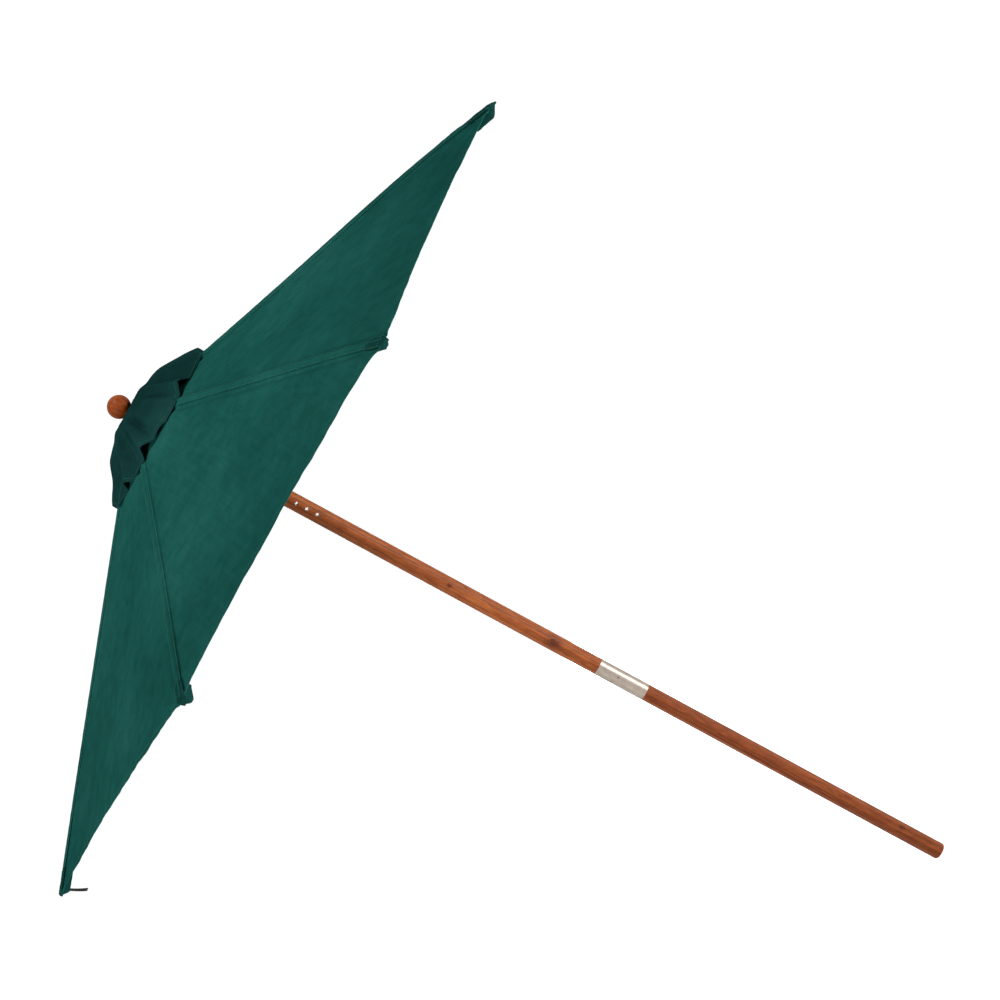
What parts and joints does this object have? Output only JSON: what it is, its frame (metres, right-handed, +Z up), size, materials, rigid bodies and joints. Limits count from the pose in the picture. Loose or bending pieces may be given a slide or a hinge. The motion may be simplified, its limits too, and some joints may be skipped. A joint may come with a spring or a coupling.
{
  "type": "beach umbrella",
  "caption": "Wooden beach umbrella with a vented fabric canopy on folding ribs, a ball finial and a pole in two pieces.",
  "frame": {"origin": "centre of the pole's foot, upright and open", "axes": "+Z up along the pole, from the foot to the ball; ribs lie half a step from +X"},
  "size_m": [1.8478, 1.8478, 2.1305],
  "materials": {
    "pole_wood": "oiled reddish hardwood",
    "ball_wood": "oiled turned hardwood",
    "hub_wood": "oiled turned hardwood",
    "rib_wood": "oiled sawn hardwood",
    "ferrule_metal": "satin",
    "bracket_metal": "zinc plated",
    "steel": "satin",
    "canopy_fabric": "plain woven",
    "strap": "narrow webbing"
  },
  "bodies": {
    "pole_lower": {"lower_pole": "pole_wood"},
    "pole_upper": {"upper_pole": "pole_wood", "ferrule": "ferrule_metal", "ferrule_rivet": "ferrule_metal", "ball_finial": "ball_wood", "finial_stud": "steel", "top_disc": "hub_wood", "crown": "hub_wood", "crown_pins": "steel", "crown_screws": "steel", "vent_cap": "canopy_fabric"},
    "slider": {"runner": "hub_wood"},
    "pin": {"lock_pin": "steel", "lock_ring": "steel"},
    "rib_1": {"rib_1": "rib_wood", "rib_bracket_1": "bracket_metal"},
    "strut_1": {"strut_1": "rib_wood", "strut_pins_1": "steel"},
    "panel_1": {"canopy_panel_1": "canopy_fabric"},
    "rib_2": {"rib_2": "rib_wood", "rib_bracket_2": "bracket_metal"},
    "strut_2": {"strut_2": "rib_wood", "strut_pins_2": "steel"},
    "panel_2": {"canopy_panel_2": "canopy_fabric"},
    "rib_3": {"rib_3": "rib_wood", "rib_bracket_3": "bracket_metal"},
    "strut_3": {"strut_3": "rib_wood", "strut_pins_3": "steel"},
    "panel_3": {"canopy_panel_3": "canopy_fabric"},
    "rib_4": {"rib_4": "rib_wood", "rib_bracket_4": "bracket_metal"},
    "strut_4": {"strut_4": "rib_wood", "strut_pins_4": "steel"},
    "panel_4": {"canopy_panel_4": "canopy_fabric"},
    "rib_5": {"rib_5": "rib_wood", "rib_bracket_5": "bracket_metal", "tie_strap": "strap"},
    "strut_5": {"strut_5": "rib_wood", "strut_pins_5": "steel"},
    "panel_5": {"canopy_panel_5": "canopy_fabric"},
    "rib_6": {"rib_6": "rib_wood", "rib_bracket_6": "bracket_metal"},
    "strut_6": {"strut_6": "rib_wood", "strut_pins_6": "steel"},
    "panel_6": {"canopy_panel_6": "canopy_fabric"},
    "rib_7": {"rib_7": "rib_wood", "rib_bracket_7": "bracket_metal"},
    "strut_7": {"strut_7": "rib_wood", "strut_pins_7": "steel"},
    "panel_7": {"canopy_panel_7": "canopy_fabric"},
    "rib_8": {"rib_8": "rib_wood", "rib_bracket_8": "bracket_metal"},
    "strut_8": {"strut_8": "rib_wood", "strut_pins_8": "steel"},
    "panel_8": {"canopy_panel_8": "canopy_fabric"}
  },
  "joints": [
    {"name": "canopy_fold", "type": "slide", "parent": "pole_upper", "child": "slider", "axis": [0, 0, -1], "range_m": [0, 0.50696], "deforming": ["canopy_panel_1", "canopy_panel_2", "canopy_panel_3", "canopy_panel_4", "canopy_panel_5", "canopy_panel_6", "canopy_panel_7", "canopy_panel_8", "vent_cap", "lock_pin", "lock_ring"]},
    {"name": "pole_lift", "type": "slide", "parent": "pole_lower", "child": "pole_upper", "axis": [0, 0, 1], "range_m": [0, 0.08]},
    {"name": "lock_pin_pull", "type": "slide", "parent": "pole_upper", "child": "pin", "axis": [0, 1, 0], "range_m": [0, 0.055]},
    {"name": "rib_1_fold", "type": "hinge", "parent": "pole_upper", "child": "rib_1", "pos_m": [0.03511, 0.01454, 2.04464], "axis": [-0.3827, 0.9239, 0], "range_deg": [0, 68.18]},
    {"name": "strut_1_swing", "type": "hinge", "parent": "rib_1", "child": "strut_1", "pos_m": [0.37924, 0.15709, 1.89769], "axis": [-0.3827, 0.9239, 0], "range_deg": [-136.35, 0]},
    {"name": "panel_1_fold", "type": "hinge", "parent": "pole_upper", "child": "panel_1", "pos_m": [0.00369, 0, 2.02484], "axis": [0, 1, 0], "range_deg": [0, 66.97]},
    {"name": "rib_2_fold", "type": "hinge", "parent": "pole_upper", "child": "rib_2", "pos_m": [0.01454, 0.03511, 2.04464], "axis": [-0.9239, 0.3827, 0], "range_deg": [0, 68.18]},
    {"name": "strut_2_swing", "type": "hinge", "parent": "rib_2", "child": "strut_2", "pos_m": [0.15709, 0.37924, 1.89769], "axis": [-0.9239, 0.3827, 0], "range_deg": [-136.35, 0]},
    {"name": "panel_2_fold", "type": "hinge", "parent": "pole_upper", "child": "panel_2", "pos_m": [0.00261, 0.00261, 2.02484], "axis": [-0.7071, 0.7071, 0], "range_deg": [0, 66.97]},
    {"name": "rib_3_fold", "type": "hinge", "parent": "pole_upper", "child": "rib_3", "pos_m": [-0.01454, 0.03511, 2.04464], "axis": [-0.9239, -0.3827, 0], "range_deg": [0, 68.18]},
    {"name": "strut_3_swing", "type": "hinge", "parent": "rib_3", "child": "strut_3", "pos_m": [-0.15709, 0.37924, 1.89769], "axis": [-0.9239, -0.3827, 0], "range_deg": [-136.35, 0]},
    {"name": "panel_3_fold", "type": "hinge", "parent": "pole_upper", "child": "panel_3", "pos_m": [0, 0.00369, 2.02484], "axis": [-1, 0, 0], "range_deg": [0, 66.97]},
    {"name": "rib_4_fold", "type": "hinge", "parent": "pole_upper", "child": "rib_4", "pos_m": [-0.03511, 0.01454, 2.04464], "axis": [-0.3827, -0.9239, 0], "range_deg": [0, 68.18]},
    {"name": "strut_4_swing", "type": "hinge", "parent": "rib_4", "child": "strut_4", "pos_m": [-0.37924, 0.15709, 1.89769], "axis": [-0.3827, -0.9239, 0], "range_deg": [-136.35, 0]},
    {"name": "panel_4_fold", "type": "hinge", "parent": "pole_upper", "child": "panel_4", "pos_m": [-0.00261, 0.00261, 2.02484], "axis": [-0.7071, -0.7071, 0], "range_deg": [0, 66.97]},
    {"name": "rib_5_fold", "type": "hinge", "parent": "pole_upper", "child": "rib_5", "pos_m": [-0.03511, -0.01454, 2.04464], "axis": [0.3827, -0.9239, 0], "range_deg": [0, 68.18]},
    {"name": "strut_5_swing", "type": "hinge", "parent": "rib_5", "child": "strut_5", "pos_m": [-0.37924, -0.15709, 1.89769], "axis": [0.3827, -0.9239, 0], "range_deg": [-136.35, 0]},
    {"name": "panel_5_fold", "type": "hinge", "parent": "pole_upper", "child": "panel_5", "pos_m": [-0.00369, 0, 2.02484], "axis": [0, -1, 0], "range_deg": [0, 66.97]},
    {"name": "rib_6_fold", "type": "hinge", "parent": "pole_upper", "child": "rib_6", "pos_m": [-0.01454, -0.03511, 2.04464], "axis": [0.9239, -0.3827, 0], "range_deg": [0, 68.18]},
    {"name": "strut_6_swing", "type": "hinge", "parent": "rib_6", "child": "strut_6", "pos_m": [-0.15709, -0.37924, 1.89769], "axis": [0.9239, -0.3827, 0], "range_deg": [-136.35, 0]},
    {"name": "panel_6_fold", "type": "hinge", "parent": "pole_upper", "child": "panel_6", "pos_m": [-0.00261, -0.00261, 2.02484], "axis": [0.7071, -0.7071, 0], "range_deg": [0, 66.97]},
    {"name": "rib_7_fold", "type": "hinge", "parent": "pole_upper", "child": "rib_7", "pos_m": [0.01454, -0.03511, 2.04464], "axis": [0.9239, 0.3827, 0], "range_deg": [0, 68.18]},
    {"name": "strut_7_swing", "type": "hinge", "parent": "rib_7", "child": "strut_7", "pos_m": [0.15709, -0.37924, 1.89769], "axis": [0.9239, 0.3827, 0], "range_deg": [-136.35, 0]},
    {"name": "panel_7_fold", "type": "hinge", "parent": "pole_upper", "child": "panel_7", "pos_m": [0, -0.00369, 2.02484], "axis": [1, 0, 0], "range_deg": [0, 66.97]},
    {"name": "rib_8_fold", "type": "hinge", "parent": "pole_upper", "child": "rib_8", "pos_m": [0.03511, -0.01454, 2.04464], "axis": [0.3827, 0.9239, 0], "range_deg": [0, 68.18]},
    {"name": "strut_8_swing", "type": "hinge", "parent": "rib_8", "child": "strut_8", "pos_m": [0.37924, -0.15709, 1.89769], "axis": [0.3827, 0.9239, 0], "range_deg": [-136.35, 0]},
    {"name": "panel_8_fold", "type": "hinge", "parent": "pole_upper", "child": "panel_8", "pos_m": [0.00261, -0.00261, 2.02484], "axis": [0.7071, 0.7071, 0], "range_deg": [0, 66.97]}
  ],
  "couplings": [
    {"joint": "rib_1_fold", "follows": "canopy_fold", "rad_per_m": 2.347},
    {"joint": "strut_1_swing", "follows": "canopy_fold", "rad_per_m": -4.6939},
    {"joint": "panel_1_fold", "follows": "canopy_fold", "rad_per_m": 2.3054},
    {"joint": "rib_2_fold", "follows": "canopy_fold", "rad_per_m": 2.347},
    {"joint": "strut_2_swing", "follows": "canopy_fold", "rad_per_m": -4.6939},
    {"joint": "panel_2_fold", "follows": "canopy_fold", "rad_per_m": 2.3054},
    {"joint": "rib_3_fold", "follows": "canopy_fold", "rad_per_m": 2.347},
    {"joint": "strut_3_swing", "follows": "canopy_fold", "rad_per_m": -4.6939},
    {"joint": "panel_3_fold", "follows": "canopy_fold", "rad_per_m": 2.3054},
    {"joint": "rib_4_fold", "follows": "canopy_fold", "rad_per_m": 2.347},
    {"joint": "strut_4_swing", "follows": "canopy_fold", "rad_per_m": -4.6939},
    {"joint": "panel_4_fold", "follows": "canopy_fold", "rad_per_m": 2.3054},
    {"joint": "rib_5_fold", "follows": "canopy_fold", "rad_per_m": 2.347},
    {"joint": "strut_5_swing", "follows": "canopy_fold", "rad_per_m": -4.6939},
    {"joint": "panel_5_fold", "follows": "canopy_fold", "rad_per_m": 2.3054},
    {"joint": "rib_6_fold", "follows": "canopy_fold", "rad_per_m": 2.347},
    {"joint": "strut_6_swing", "follows": "canopy_fold", "rad_per_m": -4.6939},
    {"joint": "panel_6_fold", "follows": "canopy_fold", "rad_per_m": 2.3054},
    {"joint": "rib_7_fold", "follows": "canopy_fold", "rad_per_m": 2.347},
    {"joint": "strut_7_swing", "follows": "canopy_fold", "rad_per_m": -4.6939},
    {"joint": "panel_7_fold", "follows": "canopy_fold", "rad_per_m": 2.3054},
    {"joint": "rib_8_fold", "follows": "canopy_fold", "rad_per_m": 2.347},
    {"joint": "strut_8_swing", "follows": "canopy_fold", "rad_per_m": -4.6939},
    {"joint": "panel_8_fold", "follows": "canopy_fold", "rad_per_m": 2.3054}
  ]
}
